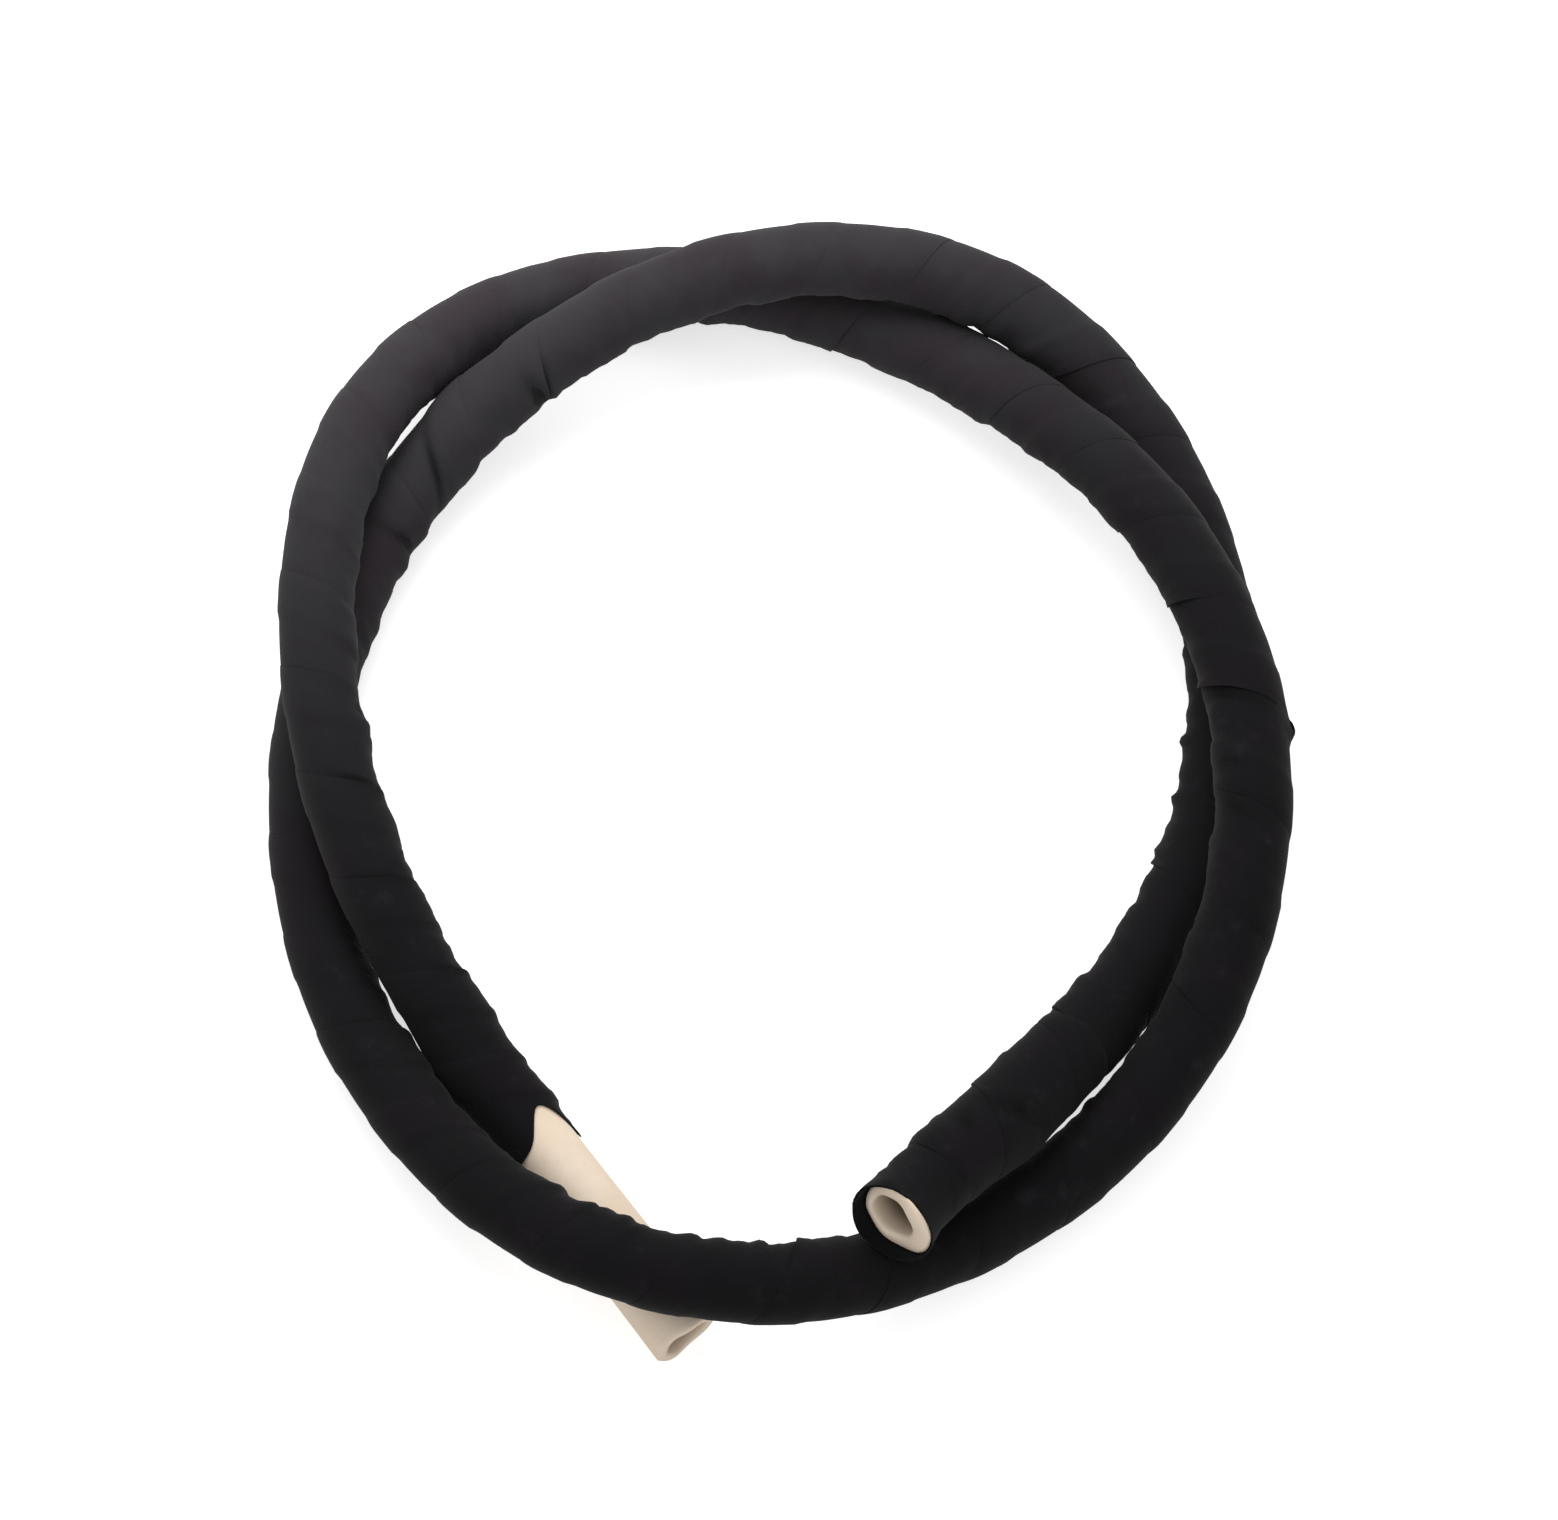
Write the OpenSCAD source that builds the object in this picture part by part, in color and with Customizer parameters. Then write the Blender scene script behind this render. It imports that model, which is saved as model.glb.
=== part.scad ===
// Soaker hose: one length of soft rubber tube in a wound cloth cover, lying in a loose double ring.
// The origin is on the ground at the middle of the ring's outline, +Z is up, lengths are millimetres.
// Positions along the hose are measured from the cover's cut edge at end A.

/* [Inner tube] */
// Bore of the rubber tube, where a hose tail pushes in
bore_d = 12.7; // [12.3:0.1:13.1]
// Thickness of the rubber wall
tube_wall = 2.85; // [2.6:0.05:3]
// Straight stretch at each end of the hose
end_straight = 32; // [28:1:34]
// Depth of the rubber inside the cover's cut edge at end A
recess = 4; // [2:0.5:8]
// Length of bare rubber past the cover at end B
bare_length = 64; // [54:1:70]

/* [Cloth tape] */
// Thickness of the cloth tape
tape_t = 0.35; // [0.25:0.05:0.4]
// Gap between the rubber and the first ply of tape
seat_gap = 0.35; // [0.33:0.01:0.4]
// Gap between one ply of tape and the next
ply_gap = 0.05; // [0.05:0.01:0.08]
// Advance of the winding in one turn
pitch = 27; // [26:0.5:30]
// Width by which each turn covers the turn before it
lap = 12.5; // [10:0.5:13]
// Position where the first length of tape ends and the second one goes on
splice_at = 1012; // [900:4:1100]
// Gap between the cut ends of the two lengths of tape
splice_gap = 0.5; // [0.3:0.1:1]

/* [End wrap] */
// Position where the extra strip at end A starts
wrap_from = 18; // [14:1:24]
// Position where the extra strip at end A ends
wrap_to = 74; // [68:1:78]

/* [Hidden] */

// Radii, from the bore outwards. The plies lie in flats, and these are the radii of their corners.
sides = 12;
flat = cos(180 / sides);
first_corner = 157.5;
bore_r = bore_d / 2;
tube_r = bore_r + tube_wall;
ply_r = tube_r + seat_gap;
ply_step = tape_t + ply_gap;
hose_r = ply_r + ply_step + tape_t;
wrap_r = hose_r + ply_gap;
hose_d = 2 * hose_r;

// The bent stretch of the rubber is drawn in flats that stay inside its true wall
bend_room = 0.35;
bore_room = 0.15;
run_r = tube_r - bend_room;
run_bore_r = (bore_r + bore_room) / flat;
joint_overlap = 1;
cut_past = 1;

// Guide points of the hose's route: [x, y, height], where the height counts hose diameters above
// the ground, so 0 lies on the ground and about 1 lies on another strand
route = [
    [48, -108, 0.9], [75, -80, 0.35], [100, -48, 0], [116, -10, 0], [120, 31, 0],
    [112, 73, 0], [93, 109, 0.2], [62, 134, 0.8], [21, 142, 1.1], [-20, 136, 1.1],
    [-58, 119, 0.8], [-90, 95, 0.2], [-112, 62, 0], [-124, 22, 0], [-125, -19, 0],
    [-116, -59, 0], [-96, -95, 0.25], [-67, -126, 0.8], [-31, -143, 1.1], [9, -144, 0.6],
    [47, -129, 0], [82, -106, 0], [108, -75, 0.6], [121, -37, 1.05], [123, 5, 1.1],
    [112, 45, 1.05], [89, 79, 0.95], [61, 107, 0.45], [28, 131, 0], [-10, 145, 0],
    [-52, 145, 0], [-90, 128, 0.3], [-114, 94, 0.85], [-122, 54, 1.1], [-120, 12, 1.1],
    [-110, -27, 0.85], [-91, -63, 0.35], [-67, -95, 0], [-42, -127, -0.02]
];
spans = len(route) - 1;

function unit(v) = v / norm(v);
function guide(i) = [route[i][0], route[i][1], hose_r + route[i][2] * hose_d];
function control(i) =
    i < 0 ? 2 * guide(0) - guide(1) :
    i > spans ? 2 * guide(spans) - guide(spans - 1) :
    guide(i);

// The route is a cubic B-spline over the guide points, one span for each pair of them
function spline(t) =
    let (i = min(floor(t), spans - 1), u = t - i)
    (pow(1 - u, 3) * control(i - 1) + (3 * pow(u, 3) - 6 * pow(u, 2) + 4) * control(i)
        + (3 * u + 3 * pow(u, 2) - 3 * pow(u, 3) + 1) * control(i + 1)
        + pow(u, 3) * control(i + 2)) / 6;
function spline_heading(t) =
    let (i = min(floor(t), spans - 1), u = t - i)
    unit(pow(u, 2) * control(i + 2) + (1 + 2 * u - 3 * pow(u, 2)) * control(i + 1)
        + (3 * pow(u, 2) - 4 * u) * control(i) - pow(1 - u, 2) * control(i - 1));

// Arc length along the route, as a table from position to spline parameter
samples_per_span = 8;
samples = [for (k = [0 : spans * samples_per_span]) spline(k / samples_per_span)];
steps = [for (k = [1 : len(samples) - 1]) norm(samples[k] - samples[k - 1])];
lengths = [for (k = 0, s = end_straight; k <= len(steps); s = s + (k < len(steps) ? steps[k] : 0), k = k + 1) s];
position_to_t = [for (k = [0 : len(samples) - 1]) [lengths[k], k / samples_per_span]];
bend_end = lengths[len(steps)];
hose_length = bend_end + end_straight;
cover_end = hose_length - bare_length;

// Point and heading of the hose's axis at position s, with a straight stretch at both ends
function t_at(s) = lookup(s, position_to_t);
function heading(s) = spline_heading(t_at(s));
function axis_point(s) =
    s < end_straight ? spline(0) - (end_straight - s) * spline_heading(0) :
    s > bend_end ? spline(spans) + (s - bend_end) * spline_heading(spans) :
    spline(t_at(s));

// Corner k of the flats about the axis, at position s and radius r
function around(s, k, r) =
    let (h = heading(s), side = unit(cross([0, 0, 1], h)), up = cross(h, side), a = first_corner + k * 360 / sides)
    axis_point(s) + r * (cos(a) * side + sin(a) * up);

// Two triangles of a four-cornered face
function halves(a, b, c, d) = [[a, b, c], [a, c, d]];

// Straight pipe from position s, along the hose's heading there
module straight_pipe(s, length, r) {
    h = heading(s);
    translate(axis_point(s))
        rotate([0, acos(h[2]), atan2(h[1], h[0])])
            cylinder(h = length, r = r, $fn = 96);
}

// Hollow bent pipe in flats, with a ring of corners at each position of the list
module bent_pipe(positions, outer_r, inner_r) {
    last = len(positions) - 1;
    corner = function (ring, wall, k) (ring * 2 + wall) * sides + k % sides;
    points = [
        for (s = positions, r = [outer_r, inner_r], k = [0 : sides - 1]) around(s, k, r)
    ];
    outside = [
        for (ring = [0 : last - 1], k = [0 : sides - 1])
            each halves(corner(ring, 0, k), corner(ring + 1, 0, k), corner(ring + 1, 0, k + 1), corner(ring, 0, k + 1))
    ];
    inside = [
        for (ring = [0 : last - 1], k = [0 : sides - 1])
            each halves(corner(ring, 1, k), corner(ring, 1, k + 1), corner(ring + 1, 1, k + 1), corner(ring + 1, 1, k))
    ];
    ends = [
        for (k = [0 : sides - 1])
            each concat(
                halves(corner(0, 0, k), corner(0, 0, k + 1), corner(0, 1, k + 1), corner(0, 1, k)),
                halves(corner(last, 0, k), corner(last, 1, k), corner(last, 1, k + 1), corner(last, 0, k + 1)))
    ];
    polyhedron(points, concat(outside, inside, ends), convexity = 10);
}

// One turn of tape is wound in as many steps as the hose has flats. At each step the tape's cross
// section has four stations over its width: the lapped edge, the edge of the turn below it, the
// place where the tape lies flat on the first ply, and the leading edge.
stations = [0, lap, pitch, pitch + lap];
step_advance = pitch / sides;
edge_sliver = 0.1;

// Position of a station at winding step i, held between the two cut edges of the winding
function station(i, k, from, to) =
    min(max(from - pitch - lap + i * step_advance + stations[k], from + edge_sliver * k),
        to - edge_sliver * (3 - k));

// Height of the tape's underside above the first ply, at a distance from its lapped edge
function lift(distance) = lookup(distance, [[lap, ply_step], [pitch, 0]]);

// Underside and top of the tape at winding step i, wound left-handed about the hose
function whole_section(i, from, to, r) =
    let (edge = from - pitch - lap + i * step_advance)
    [for (top = [0, tape_t], k = [0 : 3])
        let (s = station(i, k, from, to))
        around(s, -i, r + lift(s - edge) + top)];
function tape_section(i, from, to, r) =
    let (whole = floor(i), part = i - whole)
    part == 0 ? whole_section(whole, from, to, r) :
    (1 - part) * whole_section(whole, from, to, r) + part * whole_section(whole + 1, from, to, r);

// Winding steps from the first one that shows to the last one before the far cut edge
function last_step(from, to) = floor((to - from + pitch + lap - 4 * edge_sliver) / step_advance);
function step_at(s, from) = round((s - from + pitch + lap) / step_advance);

// Tape wound about the hose between two cut edges, from one winding step to another
module wound_tape(from, to, r, first, last) {
    turns = [first, each [for (i = [floor(first) + 1 : last]) i]];
    points = [for (i = turns) each tape_section(i, from, to, r)];
    end = len(turns) - 1;
    corner = function (n, top, k) n * 8 + top * 4 + k;
    faces = [
        for (n = [0 : end - 1], k = [0 : 2])
            each concat(
                halves(corner(n, 0, k), corner(n, 0, k + 1), corner(n + 1, 0, k + 1), corner(n + 1, 0, k)),
                halves(corner(n + 1, 1, k + 1), corner(n, 1, k + 1), corner(n, 1, k), corner(n + 1, 1, k)))
    ];
    edges = [
        for (n = [0 : end - 1])
            each concat(
                halves(corner(n, 0, 0), corner(n + 1, 0, 0), corner(n + 1, 1, 0), corner(n, 1, 0)),
                halves(corner(n, 0, 3), corner(n, 1, 3), corner(n + 1, 1, 3), corner(n + 1, 0, 3)))
    ];
    cuts = [
        for (k = [0 : 2])
            each concat(
                halves(corner(0, 0, k), corner(0, 1, k), corner(0, 1, k + 1), corner(0, 0, k + 1)),
                halves(corner(end, 0, k), corner(end, 0, k + 1), corner(end, 1, k + 1), corner(end, 1, k)))
    ];
    polyhedron(points, concat(faces, edges, cuts), convexity = 10);
}

// Soft rubber tube: round and straight at both ends, where a hose tail seals in its bore
module inner_tube() {
    rings = [
        end_straight - joint_overlap,
        each [for (k = [1 : 2 * spans - 1]) lookup(k / 2, [for (p = position_to_t) [p[1], p[0]]])],
        bend_end + joint_overlap
    ];
    color("wheat") {
        bent_pipe(rings, run_r, run_bore_r);
        difference() {
            union() {
                straight_pipe(recess, end_straight - recess, tube_r);
                straight_pipe(bend_end, end_straight, tube_r);
            }
            straight_pipe(recess - cut_past, end_straight - recess + 2 * cut_past, bore_r);
            straight_pipe(bend_end - cut_past, end_straight + 2 * cut_past, bore_r);
        }
    }
}

// First length of cloth tape, from the cut edge at end A to the splice
module cover_tape_a() {
    color("dimgray")
        wound_tape(0, cover_end, ply_r, 1, step_at(splice_at, 0));
}

// Second length of cloth tape, from the splice to the cut edge at end B
module cover_tape_b() {
    splice_part = splice_gap / (2 * ply_r * sin(180 / sides));
    color("slategray")
        wound_tape(0, cover_end, ply_r, step_at(splice_at, 0) + splice_part, last_step(0, cover_end));
}

// Extra strip of tape, wound over the cover at end A to keep it from fraying
module end_wrap() {
    color("gray")
        wound_tape(wrap_from, wrap_to, wrap_r, 1, last_step(wrap_from, wrap_to));
}

inner_tube();
cover_tape_a();
cover_tape_b();
end_wrap();
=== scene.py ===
import math

import bpy
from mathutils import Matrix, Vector


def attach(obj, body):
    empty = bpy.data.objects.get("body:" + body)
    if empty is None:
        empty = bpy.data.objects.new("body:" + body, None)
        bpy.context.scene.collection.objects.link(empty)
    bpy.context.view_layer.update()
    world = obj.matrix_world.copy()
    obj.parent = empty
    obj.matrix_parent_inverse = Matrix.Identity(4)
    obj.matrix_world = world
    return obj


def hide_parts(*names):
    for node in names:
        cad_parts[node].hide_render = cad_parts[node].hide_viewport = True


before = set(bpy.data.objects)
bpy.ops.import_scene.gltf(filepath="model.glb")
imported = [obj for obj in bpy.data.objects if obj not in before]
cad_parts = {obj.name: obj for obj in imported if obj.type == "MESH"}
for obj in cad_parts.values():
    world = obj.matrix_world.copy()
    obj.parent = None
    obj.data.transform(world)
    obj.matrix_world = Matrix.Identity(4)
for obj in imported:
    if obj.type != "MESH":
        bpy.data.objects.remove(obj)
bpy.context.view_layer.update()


# ---- Camera ----------------------------------------------------------------------------------
# The hose is seen from above and in front, from about arm's length, so the far side of the
# ring looks a little smaller than the near side.

look_at = Vector((0, 0.006, 0))
camera_distance = 1.0
camera_elevation = math.radians(68)
sensor_width = 36
frame_width = 1558
pixels_per_metre_at_target = 3759.4

camera_data = bpy.data.cameras.new("camera")
camera_data.sensor_fit = "HORIZONTAL"
camera_data.sensor_width = sensor_width
camera_data.lens = sensor_width * pixels_per_metre_at_target * camera_distance / frame_width
camera_data.clip_start = 0.01
camera_data.clip_end = 50
camera = bpy.data.objects.new("camera", camera_data)
towards_camera = Vector((0, -math.cos(camera_elevation), math.sin(camera_elevation)))
camera.location = look_at + camera_distance * towards_camera
camera.rotation_euler = towards_camera.to_track_quat("Z", "Y").to_euler()
bpy.context.scene.collection.objects.link(camera)
bpy.context.scene.camera = camera


# ---- The way the hose lies -------------------------------------------------------------------
# One length of hose, laid down by hand in a loose ring of nearly two turns, passing over and
# under itself. Each guide point is x and y in metres, and the height in hose diameters above
# the ground, so 0 lies on the ground and about 1 lies on another strand.

cover_radius = 0.0103
end_straight = 0.032
guide_points = [
    (0.048, -0.108, 0.9), (0.075, -0.080, 0.35), (0.100, -0.048, 0), (0.116, -0.010, 0),
    (0.120, 0.031, 0), (0.112, 0.073, 0), (0.093, 0.109, 0.2), (0.062, 0.134, 0.8),
    (0.021, 0.142, 1.1), (-0.020, 0.136, 1.1), (-0.058, 0.119, 0.8), (-0.090, 0.095, 0.2),
    (-0.112, 0.062, 0), (-0.124, 0.022, 0), (-0.125, -0.019, 0), (-0.116, -0.059, 0),
    (-0.096, -0.095, 0.25), (-0.067, -0.126, 0.8), (-0.031, -0.143, 1.1), (0.009, -0.144, 0.6),
    (0.047, -0.129, 0), (0.082, -0.106, 0), (0.108, -0.075, 0.6), (0.121, -0.037, 1.05),
    (0.123, 0.005, 1.1), (0.112, 0.045, 1.05), (0.089, 0.079, 0.95), (0.061, 0.107, 0.45),
    (0.028, 0.131, 0), (-0.010, 0.145, 0), (-0.052, 0.145, 0), (-0.090, 0.128, 0.3),
    (-0.114, 0.094, 0.85), (-0.122, 0.054, 1.1), (-0.120, 0.012, 1.1), (-0.110, -0.027, 0.85),
    (-0.091, -0.063, 0.35), (-0.067, -0.095, 0), (-0.042, -0.127, -0.02),
]
guides = [Vector((x, y, cover_radius * (1 + 2 * height))) for x, y, height in guide_points]
guides = [2 * guides[0] - guides[1]] + guides + [2 * guides[-1] - guides[-2]]
points_per_span = 16
way = []
for span in range(len(guides) - 3):
    a, b, c, d = guides[span:span + 4]
    for step in range(points_per_span):
        t = step / points_per_span
        way.append(((1 - t) ** 3 * a + (3 * t ** 3 - 6 * t ** 2 + 4) * b
                    + (3 * t + 3 * t ** 2 - 3 * t ** 3 + 1) * c + t ** 3 * d) / 6)
way.append((guides[-3] + 4 * guides[-2] + guides[-1]) / 6)
heading_a = (way[0] - way[1]).normalized()
heading_b = (way[-1] - way[-2]).normalized()
way = [way[0] + end_straight * heading_a] + way + [way[-1] + end_straight * heading_b]

way_data = bpy.data.curves.new("way", "CURVE")
way_data.dimensions = "3D"
way_spline = way_data.splines.new("POLY")
way_spline.points.add(len(way) - 1)
for place, spot in zip(way_spline.points, way):
    place.co = (*spot, 1)
way_curve = bpy.data.objects.new("way", way_data)
bpy.context.scene.collection.objects.link(way_curve)
hose_length = sum((q - p).length for p, q in zip(way, way[1:]))


# ---- Rubber tube -----------------------------------------------------------------------------
# The inside of the hose: a soft, thick-walled tube of cream rubber, extruded in one length and
# cut with a knife. It ends just inside the cover at end A and stands bare at end B, where its
# mouth has sprung a little out of round.

bore_radius = 0.00635
tube_radius = 0.0092
recess = 0.004
rim_round = 0.0005
around_tube = 48


class Wire:
    """One value in a node tree. Arithmetic on it adds the nodes that work it out."""

    def __init__(self, tree, socket=None):
        self.tree = tree
        self.socket = socket

    def node(self, kind, settings=None, values=None, output=0):
        """Adds a node, with its settings first and then its sockets, and gives one output."""
        made = self.tree.nodes.new(kind)
        for name, setting in (settings or {}).items():
            setattr(made, name, setting)
        for name, value in (values or {}).items():
            if isinstance(value, Wire):
                self.tree.links.new(value.socket, made.inputs[name])
            else:
                made.inputs[name].default_value = value
        return Wire(self.tree, made.outputs[output])

    def maths(self, operation, *values):
        return self.node("ShaderNodeMath", {"operation": operation}, dict(enumerate(values)))

    def __add__(self, other):
        return self.maths("ADD", self, other)

    def __radd__(self, other):
        return self.maths("ADD", other, self)

    def __sub__(self, other):
        return self.maths("SUBTRACT", self, other)

    def __rsub__(self, other):
        return self.maths("SUBTRACT", other, self)

    def __mul__(self, other):
        return self.maths("MULTIPLY", self, other)

    def __rmul__(self, other):
        return self.maths("MULTIPLY", other, self)

    def __truediv__(self, other):
        return self.maths("DIVIDE", self, other)

    def __pow__(self, other):
        return self.maths("POWER", self, other)

    def __gt__(self, other):
        return self.maths("GREATER_THAN", self, other)

    def lowest(self, other):
        return self.maths("MINIMUM", self, other)

    def highest(self, other):
        return self.maths("MAXIMUM", self, other)

    def sine(self):
        return self.maths("SINE", self)

    def cosine(self):
        return self.maths("COSINE", self)

    def hump(self, width):
        """1 where this value is 0, falling away to nothing over about twice the width."""
        return self.maths("EXPONENT", 0 - (self / width) * (self / width))

    def off(self, degrees):
        """How far this angle is from the given one, the short way round, in radians."""
        away = self - math.radians(degrees)
        return away.maths("ARCTAN2", away.sine(), away.cosine())

    def fading(self, reach):
        """1 where this value is 0 or less, easing away to nothing at the given reach."""
        return (1 - self / reach).highest(0).lowest(1) ** 2

    def between(self, low, high):
        """0 at low, 1 at high, eased at both ends."""
        return self.node("ShaderNodeMapRange", {"interpolation_type": "SMOOTHSTEP"},
                         {"Value": self, "From Min": low, "From Max": high})

    def point(self, x, y, z=0.0):
        """A vector from three values."""
        return self.node("ShaderNodeCombineXYZ", None, {0: x, 1: y, 2: z})

    def part(self, axis):
        """The x, y or z of this vector, by its number."""
        return self.node("ShaderNodeSeparateXYZ", None, {0: self}, axis)

    def vectors(self, operation, *values):
        return self.node("ShaderNodeVectorMath", {"operation": operation}, dict(enumerate(values)))

    def scaled(self, amount):
        """This vector times a value."""
        return self.node("ShaderNodeVectorMath", {"operation": "SCALE"}, {0: self, "Scale": amount})

    def noise(self, scale, detail=2.0, roughness=0.5):
        """Noise at the place that this vector gives."""
        return self.node("ShaderNodeTexNoise", None,
                         {"Vector": self, "Scale": scale, "Detail": detail, "Roughness": roughness})

    def blend(self, colour_a, colour_b):
        """colour_a where this value is 0, colour_b where it is 1."""
        mixed = self.tree.nodes.new("ShaderNodeMix")
        mixed.data_type = "RGBA"
        self.tree.links.new(self.socket, mixed.inputs[0])
        for place, colour in ((6, colour_a), (7, colour_b)):
            if isinstance(colour, Wire):
                self.tree.links.new(colour.socket, mixed.inputs[place])
            else:
                mixed.inputs[place].default_value = (*colour, 1)
        return Wire(self.tree, mixed.outputs[2])

    def into(self, shader, name):
        """Feeds this value to one of a shader's sockets."""
        self.tree.links.new(self.socket, shader.inputs[name])


def new_material(name):
    """A material with a plain Principled shader, and the wire that the nodes hang on."""
    material = bpy.data.materials.new(name)
    material.use_nodes = True
    return material, material.node_tree.nodes["Principled BSDF"], Wire(material.node_tree)


rubber, rubber_shader, wire = new_material("cream_rubber")
place = wire.node("ShaderNodeTexCoord", output="Object")
depth = wire.node("ShaderNodeAttribute", {"attribute_name": "depth"}, output="Fac")
tone = place.noise(60, 4).between(0.35, 0.65)
fine = place.noise(900, 5, 0.7)
dust = place.noise(260, 4, 0.7).between(0.5, 0.8)
colour = tone.blend((0.91, 0.74, 0.57), (0.95, 0.80, 0.64))
colour = (dust * 0.3).blend(colour, (0.76, 0.62, 0.48))
# painted shade: the bore's wall darkens to brown with depth from each mouth, where shade falls inside it
light_reach = 0.009
colour = depth.between(0, light_reach).blend(colour, (0.18, 0.12, 0.065))
colour.into(rubber_shader, "Base Color")
(0.6 + 0.2 * fine).into(rubber_shader, "Roughness")
bump = wire.node("ShaderNodeBump", None, {"Height": fine, "Strength": 0.2, "Distance": 0.0002})
bump.into(rubber_shader, "Normal")
rubber_shader.inputs["Subsurface Weight"].default_value = 0.06
rubber_shader.inputs["Subsurface Radius"].default_value = (0.004, 0.0025, 0.0015)


def way_at(position):
    """Point and heading of the hose's axis, at a position along it from end A."""
    gone = 0
    for p, q in zip(way, way[1:]):
        step = (q - p).length
        if gone + step >= position or q is way[-1]:
            return p.lerp(q, (position - gone) / step), (q - p).normalized()
        gone += step


crept_out = 0.0028
mouth_a = recess - crept_out
mouth_b = hose_length
bulge_reach = 0.014
bulge_all_round = 0.0012
bulge_outwards = 0.0016
bulge_upwards = 0.0010


def bell(turn, from_mouth):
    """How much thicker the hose is at end A, where its rubber bulges out beyond the wrap."""
    painted_light_and_bulge_fade = max(0.0, 1 - from_mouth / bulge_reach) ** 2
    return painted_light_and_bulge_fade * (bulge_all_round - bulge_outwards * math.cos(turn) + bulge_upwards * math.sin(turn))


squash_reach_a = 0.020
squash_reach_b = 0.045
taller_at_a = 0.03
wider_at_b = 0.05
knife_slip = 0.0004


def ring_at(position, radius):
    """A ring of points about the axis. Near the mouths it is a little flat, and the cut uneven."""
    middle, heading = way_at(position)
    side = Vector((0, 0, 1)).cross(heading).normalized()
    up = heading.cross(side)
    near_a = max(0.0, 1 - (position - mouth_a) / squash_reach_a)
    near_b = max(0.0, 1 - (mouth_b - position) / squash_reach_b)
    squash = wider_at_b * near_b ** 2 - taller_at_a * near_a ** 2
    uneven = knife_slip * (near_a ** 8 + near_b ** 16)
    wall_share = (radius - bore_radius) / (tube_radius - bore_radius)
    ring = []
    for k in range(around_tube):
        turn = 2 * math.pi * k / around_tube
        slip = uneven * (math.sin(2 * turn) + 0.5 * math.sin(5 * turn))
        out = (1 + squash) * math.cos(turn) * side + (1 - squash) * math.sin(turn) * up
        wide = radius + bell(turn, position - mouth_a) * wall_share
        ring.append(middle + wide * out + slip * heading)
    return ring


inside_a = mouth_a + rim_round
inside_b = mouth_b - rim_round
bend_step = 0.006
bends = int((inside_b - inside_a) / bend_step)
mouth_stations = [0.0012, 0.0025, 0.004, 0.006]
stations = sorted(
    [inside_a + (inside_b - inside_a) * k / bends for k in range(bends + 1)]
    + [inside_a + further for further in mouth_stations if further < bend_step]
    + [inside_b - further for further in mouth_stations if further < bend_step])
loops = [(s, tube_radius) for s in stations]
loops += [(mouth_b, tube_radius - rim_round), (mouth_b, bore_radius + rim_round)]
loops += [(s, bore_radius) for s in reversed(stations)]
loops += [(mouth_a, bore_radius + rim_round), (mouth_a, tube_radius - rim_round)]
corners = [point for s, radius in loops for point in ring_at(s, radius)]
depths = [min(s - mouth_a, mouth_b - s) if radius == bore_radius else 0
          for s, radius in loops for k in range(around_tube)]
faces = []
for row in range(len(loops)):
    for k in range(around_tube):
        here, ahead = row * around_tube, (row + 1) % len(loops) * around_tube
        beside = (k + 1) % around_tube
        faces.append((here + k, here + beside, ahead + beside, ahead + k))
tube_mesh = bpy.data.meshes.new("rubber_tube")
tube_mesh.from_pydata(corners, [], faces)
tube_mesh.attributes.new("depth", "FLOAT", "POINT").data.foreach_set("value", depths)
tube_mesh.shade_smooth()
tube_mesh.materials.append(rubber)
rubber_tube = bpy.data.objects.new("rubber_tube", tube_mesh)
bpy.context.scene.collection.objects.link(rubber_tube)
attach(rubber_tube, "root")
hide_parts("inner_tube")


# ---- Cloth cover -----------------------------------------------------------------------------
# Black woven tape, wound left-handed onto the rubber so that each turn covers nearly half of
# the turn before it. Two lengths of tape make the cover. Its lapped edges lie flat in some
# places and lift in others, and it puckers on the inside of the bends, where there is more
# cloth than room.

tape_thickness = 0.00035
tape_seat = 0.00925
cloth_radius = 0.0098
ply_step = 0.0004
pitch = 0.027
lap = 0.0125
flats = 12
first_corner = math.radians(157.5)
steps_per_turn = 48
edge_cells = 4
face_cells = 17
hidden_cells = 2
edge_band = 0.003
cover_end = hose_length - 0.064
splice_at = 1.012
splice_turn = round(flats * (splice_at + pitch + lap) / pitch) / flats
last_turn = (cover_end + pitch + lap) / pitch

# Places where the lapped edge has come a little loose: position along the hose, angle about it in
# degrees (0 faces the middle of the ring, 90 is up) and reach about it in radians.
loosened = [
    (0.080, 40, 0.9), (0.135, 0, 0.5), (0.214, 20, 0.7), (0.455, 10, 0.8), (0.514, 25, 0.9),
    (0.669, 60, 0.6), (0.755, 30, 0.6), (0.809, 30, 0.7), (1.019, 50, 1.0), (1.0505, 20, 0.5),
    (1.2395, 60, 0.8),
    (1.425, 90, 1.3), (1.4535, 55, 0.7), (1.4785, 70, 0.9), (1.506, 35, 0.6),
]

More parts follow.
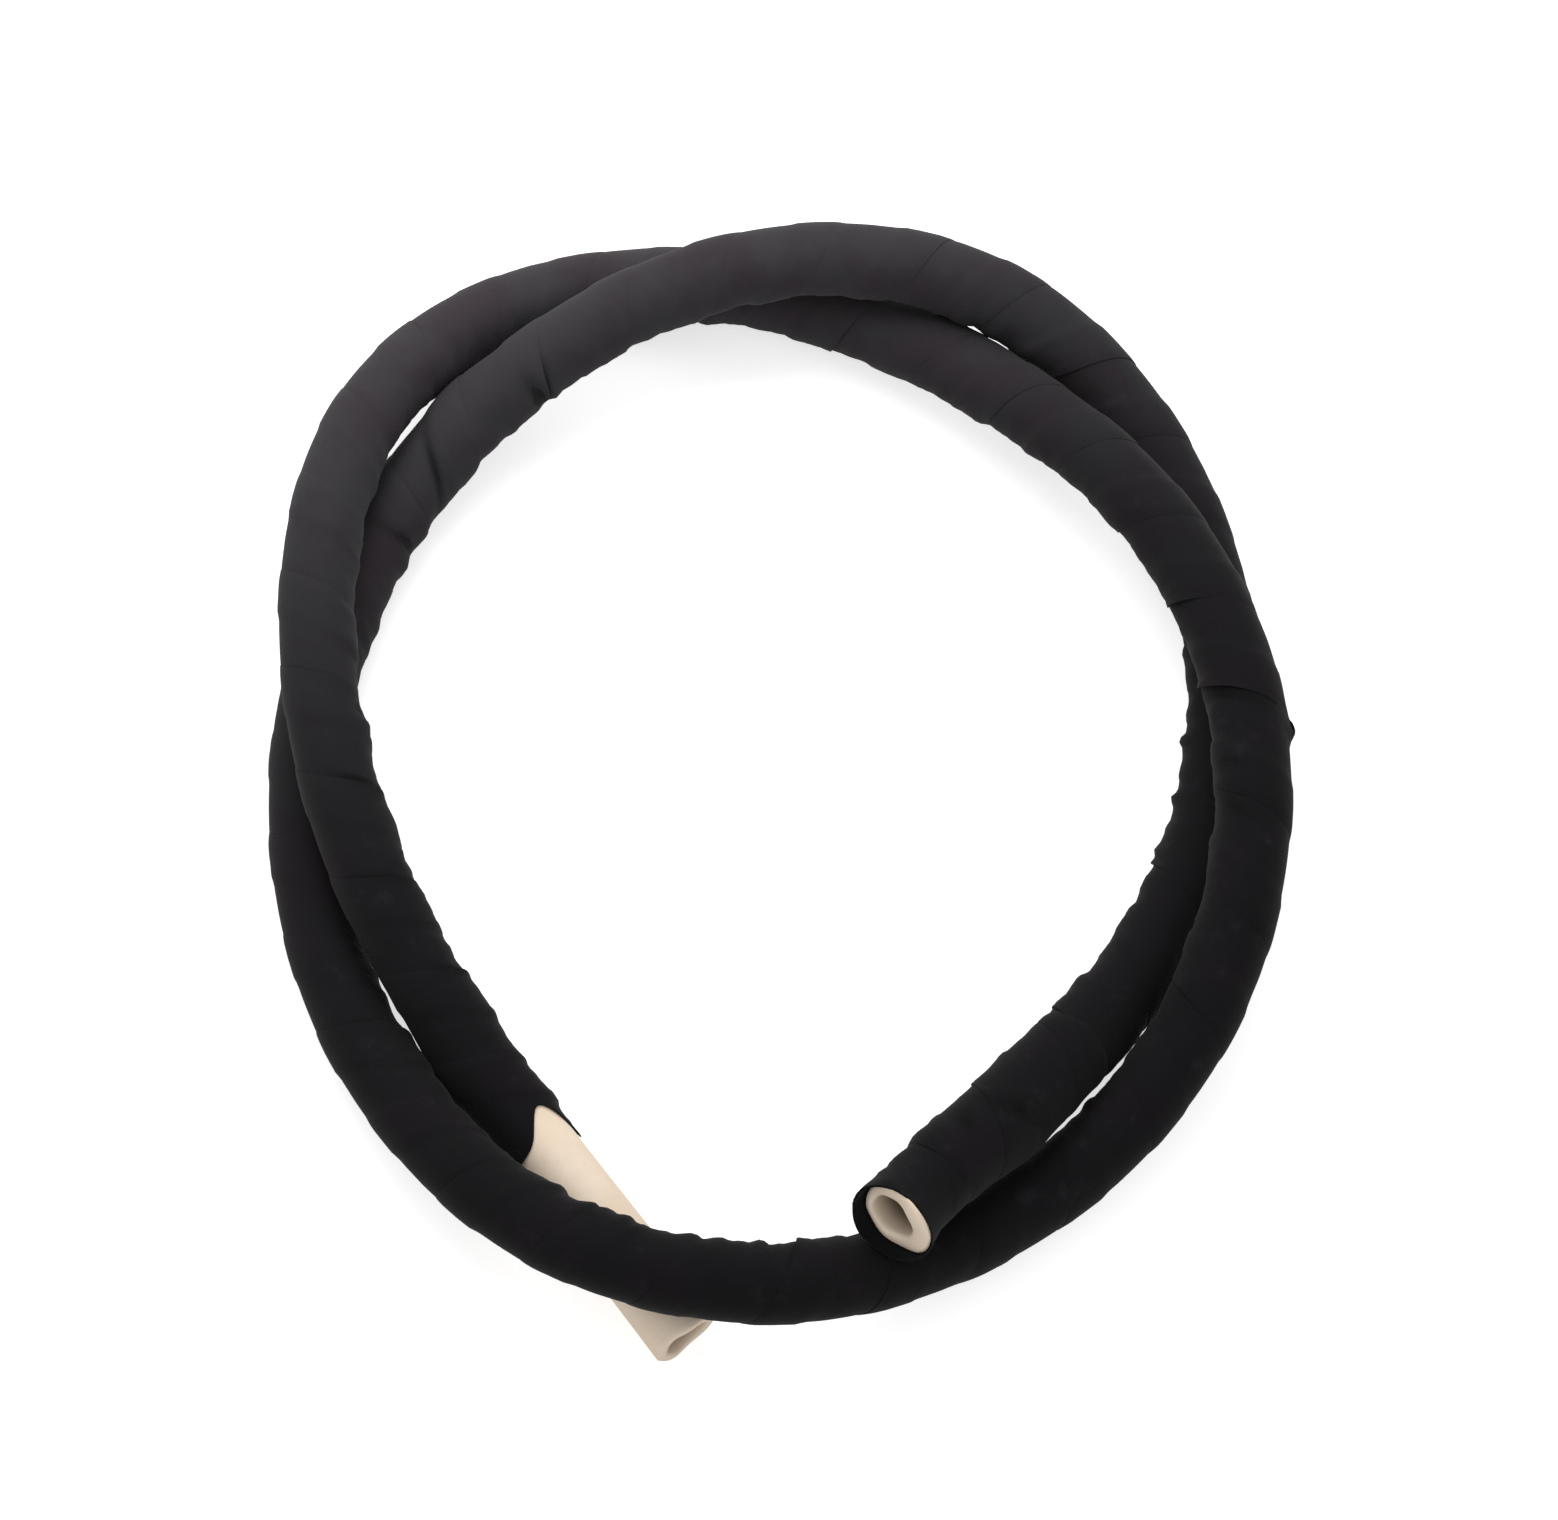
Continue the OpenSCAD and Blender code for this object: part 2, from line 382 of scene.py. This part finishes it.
# Single folds, swells and creases: position along the hose, angle about it, drift of the position
# with the angle, half-width, reach about the hose in radians, and height. A swell is a wide low
# fold where the cover meets the strand beside it. Creases have a height below 0.
folds = [
    (0.043, 121, 0.0056, 0.0017, 0.8, -0.0007), (0.048, 121, 0.0056, 0.0026, 0.8, 0.0004),
    (0.030, 70, -0.002, 0.0020, 0.3, -0.0004), (0.045, 200, 0.0, 0.0100, 0.6, 0.0018),
    (0.058, 190, 0.0, 0.0050, 0.5, 0.0007), (0.080, 192, 0.0, 0.0095, 0.6, 0.0018),
    (0.101, 192, 0.0, 0.0100, 0.5, 0.0011), (0.313, 332, 0.0, 0.0120, 0.5, 0.0008),
    (0.336, 350, 0.0, 0.0085, 0.5, 0.0008), (0.473, 156, 0.0, 0.0100, 0.5, 0.0010),
    (0.650, 15, 0.0, 0.0110, 0.5, -0.0005), (0.682, 4, 0.0, 0.0120, 0.5, 0.0009),
    (1.147, 155, 0.0, 0.0120, 0.5, 0.0009), (1.166, 150, 0.0, 0.0085, 0.5, 0.0009),
    (1.314, 342, 0.0, 0.0100, 0.5, 0.0009), (1.497, 186, 0.0, 0.0110, 0.5, -0.0007),
    (1.530, 180, 0.0, 0.0120, 0.6, 0.0012),
    (0.135, 0, -0.004, 0.0015, 0.4, 0.0010), (0.152, 0, -0.004, 0.0013, 0.4, 0.0009),
    (0.170, 358, -0.004, 0.0013, 0.4, 0.0012), (0.205, 20, -0.0045, 0.0015, 0.6, -0.0005),
    (0.223, 350, -0.004, 0.0015, 0.5, -0.0005), (0.457, 8, 0.0, 0.0018, 0.7, -0.0013),
    (0.4530, 350, 0.0, 0.0018, 0.6, 0.0010), (0.494, 55, -0.0070, 0.0016, 1.1, -0.0007),
    (0.516, 27, 0.0, 0.0015, 0.6, -0.0007), (0.7370, 14, -0.002, 0.0022, 0.5, 0.0006),
    (0.7395, 14, -0.002, 0.0014, 0.5, -0.0008), (0.7480, 12, -0.002, 0.0022, 0.5, 0.0006),
    (0.7505, 12, -0.002, 0.0014, 0.5, -0.0008), (0.7585, 14, -0.002, 0.0022, 0.5, 0.0008),
    (0.7610, 14, -0.002, 0.0014, 0.5, -0.0008), (0.7655, 16, -0.002, 0.0014, 0.4, -0.0006),
    (0.7765, 14, -0.002, 0.0024, 0.5, 0.0007), (0.7790, 14, -0.002, 0.0014, 0.5, -0.0008),
    (0.7945, 20, -0.002, 0.0024, 0.5, 0.0009), (0.7970, 20, -0.002, 0.0014, 0.6, -0.0008),
    (0.8015, 38, -0.002, 0.0014, 0.4, -0.0006), (0.9882, 49, -0.0044, 0.0015, 0.5, -0.0006),
    (0.9998, 42, -0.0025, 0.0015, 0.4, -0.0006), (1.0105, 182, 0.0, 0.0032, 0.35, 0.0019),
    (1.0140, 166, -0.004, 0.0015, 0.35, -0.0006), (1.0235, 10, -0.004, 0.0020, 0.4, 0.0006),
    (1.4365, 8, 0.0, 0.0022, 0.4, 0.0008), (1.4650, 0, 0.0, 0.0055, 0.5, 0.0008),
    (1.4760, 0, 0.0, 0.0016, 0.5, -0.0008), (1.5060, 12, -0.003, 0.0016, 0.5, -0.0007),
    (1.5390, 8, -0.003, 0.0016, 0.5, -0.0006),
]

cloth, cloth_shader, wire = new_material("black_cloth")
place = wire.node("ShaderNodeTexCoord", output="Object")
lay = wire.node("ShaderNodeUVMap", {"uv_map": "tape"})
shade = wire.node("ShaderNodeAttribute", {"attribute_name": "shade"}, output="Fac")
yarn_width = 0.00045
yarn_turn = math.pi / yarn_width
warp = lay.part(1) * yarn_turn
weft = lay.part(0) * yarn_turn
weave = warp.sine() * weft.sine() * 0.5 + 0.5

# painted light and shade: the cloth's colour is lighter towards the far left of the ring and darker at
# the near side, where light falls that way; it has also turned a little red in patches
painted_light_and_bulge_fade = (place.part(1) - 0.4 * place.part(0)).between(-0.20, 0.18) ** 4
tint = place.noise(35, 4, 0.6).between(0.42, 0.6)
worn = place.noise(140, 5, 0.65).between(0.55, 0.8)
fuzz = place.noise(1600, 3)
# painted light: dark at the near side of the ring, lighter towards the far left
colour = painted_light_and_bulge_fade.blend((0.0056, 0.0056, 0.0066), (0.047, 0.044, 0.048))
reddish = painted_light_and_bulge_fade.blend((0.0080, 0.0058, 0.0072), (0.040, 0.029, 0.036))
colour = (tint * 0.6).blend(colour, reddish)
colour = (worn * 0.12).blend(colour, (0.060, 0.056, 0.060))
# painted shade: the shade attribute darkens the cloth under loose edges, in the creases and inside the
# cut at end A
colour = (shade * 0.85).blend(colour, (0.002, 0.002, 0.0025))
colour.into(cloth_shader, "Base Color")
cloth_shader.inputs["Roughness"].default_value = 0.85
cloth_shader.inputs["Specular IOR Level"].default_value = 0.1
cloth_shader.inputs["Sheen Weight"].default_value = 0.04
cloth_shader.inputs["Sheen Roughness"].default_value = 0.5
nap = 0.6 * weave + 0.4 * fuzz
bump = wire.node("ShaderNodeBump", None, {"Height": nap, "Strength": 0.3, "Distance": 0.00015})
bump.into(cloth_shader, "Normal")


def winding_tree():
    """Geometry nodes that wind a strip of tape about the way of the hose."""
    tree = bpy.data.node_groups.new("wound_tape", "GeometryNodeTree")
    tree.interface.new_socket("Geometry", in_out="INPUT", socket_type="NodeSocketGeometry")
    tree.interface.new_socket("Geometry", in_out="OUTPUT", socket_type="NodeSocketGeometry")
    tree.interface.new_socket("Way", in_out="INPUT", socket_type="NodeSocketObject")
    tree.interface.new_socket("Material", in_out="INPUT", socket_type="NodeSocketMaterial")
    for name in ("Start", "End", "First turn", "Last turn", "Seat", "Pitch", "Lap",
                 "Pucker", "Slack", "Slant", "Notch", "Sliver", "Overlap", "Bell", "Press",
                 "Low"):
        tree.interface.new_socket(name, in_out="INPUT", socket_type="NodeSocketFloat")
    for name in ("Steps", "Seed"):
        tree.interface.new_socket(name, in_out="INPUT", socket_type="NodeSocketInt")
    given = tree.nodes.new("NodeGroupInput")
    wire = Wire(tree)
    size = {socket.name: Wire(tree, socket) for socket in given.outputs if socket.name}
    whole_turn = 2 * math.pi

    # a flat grid, one unit each way: x runs along the tape and y across it
    cells = edge_cells + face_cells + hidden_cells
    grid = wire.node("GeometryNodeMeshGrid", None,
                     {"Size X": 1, "Size Y": 1, "Vertices X": size["Steps"], "Vertices Y": cells + 1})
    spot = wire.node("GeometryNodeInputPosition")
    gone = (spot.part(0) + 0.5) * (size["Last turn"] - size["First turn"])
    turn = size["First turn"] + gone
    row = (spot.part(1) + 0.5) * cells
    edge_rows = row.lowest(edge_cells)
    face_rows = (row - edge_cells).highest(0).lowest(face_cells)
    hidden_rows = (row - edge_cells - face_cells).highest(0)
    from_edge = (edge_rows * (edge_band / edge_cells)
                 + face_rows * ((size["Pitch"] - edge_band) / face_cells)
                 + hidden_rows * (size["Lap"] / hidden_cells))

    # where each point lies: its angle about the hose, and its position along it between the cuts;
    # the cut at end A slants, and the one at end B has a notch on top and a sliver beside it
    hand_stray = 0.005
    cut_stray = 0.0012
    flush_side = 125
    notch_side = 60
    notch_width = 0.6
    notch_shoulder = 0.9
    sliver_side = 4
    sliver_width = 0.15
    angle = first_corner - turn * whole_turn
    stray = (wire.point(turn * 0.8, size["Seed"]).noise(1, 1) - 0.5) * hand_stray
    lapped_edge = size["Start"] - size["Pitch"] - size["Lap"] + turn * size["Pitch"] + stray
    reach = lapped_edge + from_edge
    fray = wire.point(angle.sine(), angle.cosine(), size["Seed"]).noise(1.5, 3)
    ragged = (fray - 0.5) * cut_stray
    cut_a = size["Start"] + ragged + size["Slant"] * (0.5 + 0.5 * angle.off(flush_side).cosine())
    notched = notch_shoulder - (1 + notch_shoulder) * angle.off(notch_side).hump(notch_width)
    cut_b = size["End"] + ragged + size["Notch"] * notched
    cut_b = cut_b + size["Sliver"] * angle.off(sliver_side).hump(sliver_width)
    position = reach.highest(cut_a).lowest(cut_b)

    # the hose's axis there, drawn on straight in front of its start, and the direction out from it
    route = wire.node("GeometryNodeObjectInfo", {"transform_space": "ORIGINAL"},
                      {"Object": size["Way"]}, "Geometry")
    sampled = tree.nodes.new("GeometryNodeSampleCurve")
    sampled.mode = "LENGTH"
    sampled.use_all_curves = False
    route.into(sampled, "Curves")
    position.into(sampled, "Length")
    heading = Wire(tree, sampled.outputs["Tangent"])
    in_front = heading.scaled(position.lowest(0))
    axis = wire.vectors("ADD", Wire(tree, sampled.outputs["Position"]), in_front)
    side = wire.vectors("NORMALIZE", wire.vectors("CROSS_PRODUCT", (0, 0, 1), heading))
    up = wire.vectors("CROSS_PRODUCT", heading, side)
    outwards = wire.vectors("ADD", side.scaled(angle.cosine()), up.scaled(angle.sine()))

    # 1 on the side of the hose that faces the middle of the ring, 0 from the top round to the back
    inside = angle.cosine().highest(0)

    # how far the tape stands off the axis: over the turn before it, puckered, swollen and folded
    step_before = 0.001
    step_after = 0.0015
    around_scale = 0.004
    pucker_scale = 150
    pucker_outside = 0.15
    swollen_scale = 28
    swollen_height = 0.0006
    slack_inside = 0.0004
    ridge_width = 0.0011
    ridge_height = 0.0003
    on_top = 1 - from_edge.between(size["Lap"] - step_before, size["Lap"] + step_after)
    near = wire.point(position, angle.sine() * around_scale, angle.cosine() * around_scale)
    creased = (near.noise(pucker_scale) - 0.5) * (inside * inside + pucker_outside) * size["Pucker"]
    swollen = (near.noise(swollen_scale) - 0.5) * swollen_height + inside * slack_inside
    ridge = (from_edge - size["Lap"]).hump(ridge_width) * inside * ridge_height
    heights = []
    creases = []
    for fold_at, fold_angle, drift, width, around, height in folds:
        away = angle.off(fold_angle)
        shape = (position - fold_at - drift * away).hump(width) * away.hump(around)
        heights.append(height * shape)
        if height < 0:
            creases.append(shape)
    folded = sum(heights)

    # its lapped edge is pressed flat in most places and lifts in some; along the hose, the edge
    # moves back by seam_drift for each radian about it
    seam_drift = 0.0043
    loose_reach = 0.007
    loose_scale = 40
    lifted_width = 0.004
    lifted_outside = 0.25
    pressed_down = 0.00033
    loose = near.noise(loose_scale, 1).between(0.5, 0.75) * 0.5
    for loose_at, loose_angle, around in loosened:
        away = angle.off(loose_angle)
        along_seam = (position - loose_at + seam_drift * away).hump(loose_reach)
        loose = loose.highest(along_seam * away.hump(around))
    lift = loose * (lifted_outside + inside) * size["Slack"] - (1 - loose) * pressed_down
    lifted = from_edge.fading(lifted_width) * lift

    # it is drawn tight at its cuts, laid over the other length at the splice, and swollen at end A
    tight_reach = 0.005
    splice_turns = 0.12
    over_rubber = 0.00005
    at_cut = (position - cut_a).fading(tight_reach) + (cut_b - position).fading(tight_reach)
    laid_over = (1 - gone / splice_turns).highest(0) * size["Overlap"]
    joined = laid_over - at_cut * size["Press"]
    swell = bulge_all_round + over_rubber - bulge_outwards * angle.cosine() + bulge_upwards * angle.sine()
    swell = swell * (position - mouth_a).fading(bulge_reach) * size["Bell"]
    stand_off = on_top * ply_step + creased + swollen + ridge + folded + lifted + joined
    out_by = size["Seat"] + swell + stand_off.highest(size["Low"])
    target = wire.vectors("ADD", axis, outwards.scaled(out_by))

    # painted shade: the line of shade under a loose edge, in the creases, and inside the cut at end A,
    # stored for the cloth's colour
    seam_shade_from = 0.0018
    seam_shade_to = 0.0002
    mouth_shade = 0.7
    mouth_shade_reach = 0.0025
    seam = from_edge.between(size["Pitch"] - seam_shade_from, size["Pitch"] - seam_shade_to) * loose
    shade_inside_cut = (1 - (position - cut_a) / mouth_shade_reach).highest(0) * size["Bell"] * mouth_shade
    shade = (seam + sum(creases) + shade_inside_cut).lowest(1)

    # faces wholly past a cut go, and the rest are drawn in to it and joined up there
    beyond = (cut_a > reach).highest(reach > cut_b)
    past = wire.node("GeometryNodeFieldOnDomain", {"data_type": "FLOAT", "domain": "POINT"},
                     {"Value": beyond}) > 0.99
    lay = wire.point(turn * (whole_turn * cloth_radius), from_edge)
    lined = wire.node("GeometryNodeStoreNamedAttribute", {"data_type": "FLOAT2", "domain": "CORNER"},
                      {"Geometry": grid, "Name": "tape", "Value": lay})
    shaded = wire.node("GeometryNodeStoreNamedAttribute", {"data_type": "FLOAT", "domain": "POINT"},
                       {"Geometry": lined, "Name": "shade", "Value": shade})
    marked = wire.node("GeometryNodeStoreNamedAttribute", {"data_type": "FLOAT", "domain": "POINT"},
                       {"Geometry": shaded, "Name": "drawn_in", "Value": beyond})
    drawn_in = wire.node("GeometryNodeInputNamedAttribute", {"data_type": "FLOAT"}, {"Name": "drawn_in"})
    kept = wire.node("GeometryNodeDeleteGeometry", {"domain": "FACE"},
                     {"Geometry": marked, "Selection": past})
    wound = wire.node("GeometryNodeSetPosition", None, {"Geometry": kept, "Position": target})
    weld_distance = 0.00003
    whole = wire.node("GeometryNodeMergeByDistance", None,
                      {"Geometry": wound, "Selection": drawn_in > 0.5, "Distance": weld_distance})
    plain = wire.node("GeometryNodeRemoveAttribute", None, {"Geometry": whole, "Name": "drawn_in"})
    facing = wire.node("GeometryNodeFlipFaces", None, {"Mesh": plain})
    real = wire.node("GeometryNodeRealizeInstances", None, {"Geometry": facing})
    dressed = wire.node("GeometryNodeSetMaterial", None, {"Geometry": real, "Material": size["Material"]})
    done = tree.nodes.new("NodeGroupOutput")
    tree.links.new(dressed.socket, done.inputs[0])
    return tree


wound_tape = winding_tree()


def wind(name, node, sizes):
    """Winds one length of tape, gives it its thickness, and makes it a plain mesh."""
    blank = bpy.data.objects.new(name, bpy.data.meshes.new(name))
    bpy.context.scene.collection.objects.link(blank)
    winding = blank.modifiers.new("winding", "NODES")
    winding.node_group = wound_tape
    sizes = {"Way": way_curve, "Material": cloth, "Pitch": pitch, "Lap": lap, **sizes}
    sizes["Steps"] = int((sizes["Last turn"] - sizes["First turn"]) * steps_per_turn) + 1
    for socket in wound_tape.interface.items_tree:
        if socket.name in sizes:
            winding[socket.identifier] = sizes[socket.name]
    body = blank.modifiers.new("body", "SOLIDIFY")
    body.thickness = tape_thickness
    body.offset = 1
    body.use_even_offset = False
    seen = bpy.context.evaluated_depsgraph_get()
    mesh = bpy.data.meshes.new_from_object(blank.evaluated_get(seen))
    mesh.name = name
    blank.modifiers.clear()
    blank.data = mesh
    mesh.shade_smooth()
    mesh.set_sharp_from_angle(angle=math.radians(50))
    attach(blank, "root")
    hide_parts(node)
    return blank


tucked = 0.04
first_length = wind("cover_first_length", "cover_tape_a", {
    "Start": -0.0035, "End": cover_end, "First turn": 0.0, "Last turn": splice_turn + tucked,
    "Seat": tape_seat, "Pucker": 0.0024, "Slack": 0.0009, "Slant": 0.0056, "Bell": 1.0, "Seed": 3})
second_length = wind("cover_second_length", "cover_tape_b", {
    "Start": 0.0, "End": cover_end, "First turn": splice_turn, "Last turn": last_turn,
    "Seat": tape_seat, "Pucker": 0.0024, "Slack": 0.0009, "Notch": 0.005, "Sliver": 0.003,
    "Overlap": 0.0004, "Seed": 3})


# ---- End wrap --------------------------------------------------------------------------------
# A short extra strip of the same tape, wound tightly over the cover just behind its cut edge at
# end A to keep it from fraying. It makes the hose plainly thicker there.

wrap_from = 0.018
wrap_to = 0.074
end_wrap = wind("end_wrap_strip", "end_wrap", {
    "Start": wrap_from, "End": wrap_to, "First turn": 0.0,
    "Last turn": (wrap_to - wrap_from + pitch + lap) / pitch,
    "Seat": tape_seat + 2 * ply_step, "Pucker": 0.0010, "Slack": 0.0004, "Press": 0.0009,
    "Low": -0.0008, "Seed": 8})

bpy.data.objects.remove(way_curve)


# ---- Floor and light -------------------------------------------------------------------------
# A plain white floor under one large soft lamp above and behind the hose, in a pale room.

floor_reach = 6
floor_mesh = bpy.data.meshes.new("floor")
floor_mesh.from_pydata(
    [(-floor_reach, -floor_reach, 0), (floor_reach, -floor_reach, 0),
     (floor_reach, floor_reach, 0), (-floor_reach, floor_reach, 0)], [], [(0, 1, 2, 3)])
floor = bpy.data.objects.new("floor", floor_mesh)
bpy.context.scene.collection.objects.link(floor)
paper, paper_shader, wire = new_material("white_paper")
paper_shader.inputs["Base Color"].default_value = (0.85, 0.85, 0.85, 1)
paper_shader.inputs["Roughness"].default_value = 1
paper_shader.inputs["Specular IOR Level"].default_value = 0
ray = wire.node("ShaderNodeLightPath", output="Is Camera Ray")
for kind in ("Is Glossy Ray", "Is Transmission Ray"):
    ray = ray.highest(wire.node("ShaderNodeLightPath", output=kind))
ray.blend((0, 0, 0), (1, 1, 1)).into(paper_shader, "Emission Color")
white_glow = 0.62
paper_shader.inputs["Emission Strength"].default_value = white_glow
floor_mesh.materials.append(paper)

lamp_place = Vector((-0.10, 0.42, 0.50))
lamp_data = bpy.data.lights.new("soft_lamp", "AREA")
lamp_data.shape = "SQUARE"
lamp_data.size = 0.6
lamp_data.energy = 3.0
lamp = bpy.data.objects.new("soft_lamp", lamp_data)
lamp.location = lamp_place
lamp.rotation_euler = lamp_place.to_track_quat("Z", "Y").to_euler()
bpy.context.scene.collection.objects.link(lamp)

world = bpy.data.worlds.new("room")
world.use_nodes = True
world.node_tree.nodes["Background"].inputs["Color"].default_value = (1, 1, 1, 1)
world.node_tree.nodes["Background"].inputs["Strength"].default_value = 0.65
bpy.context.scene.world = world
bpy.context.scene.view_settings.view_transform = "Standard"
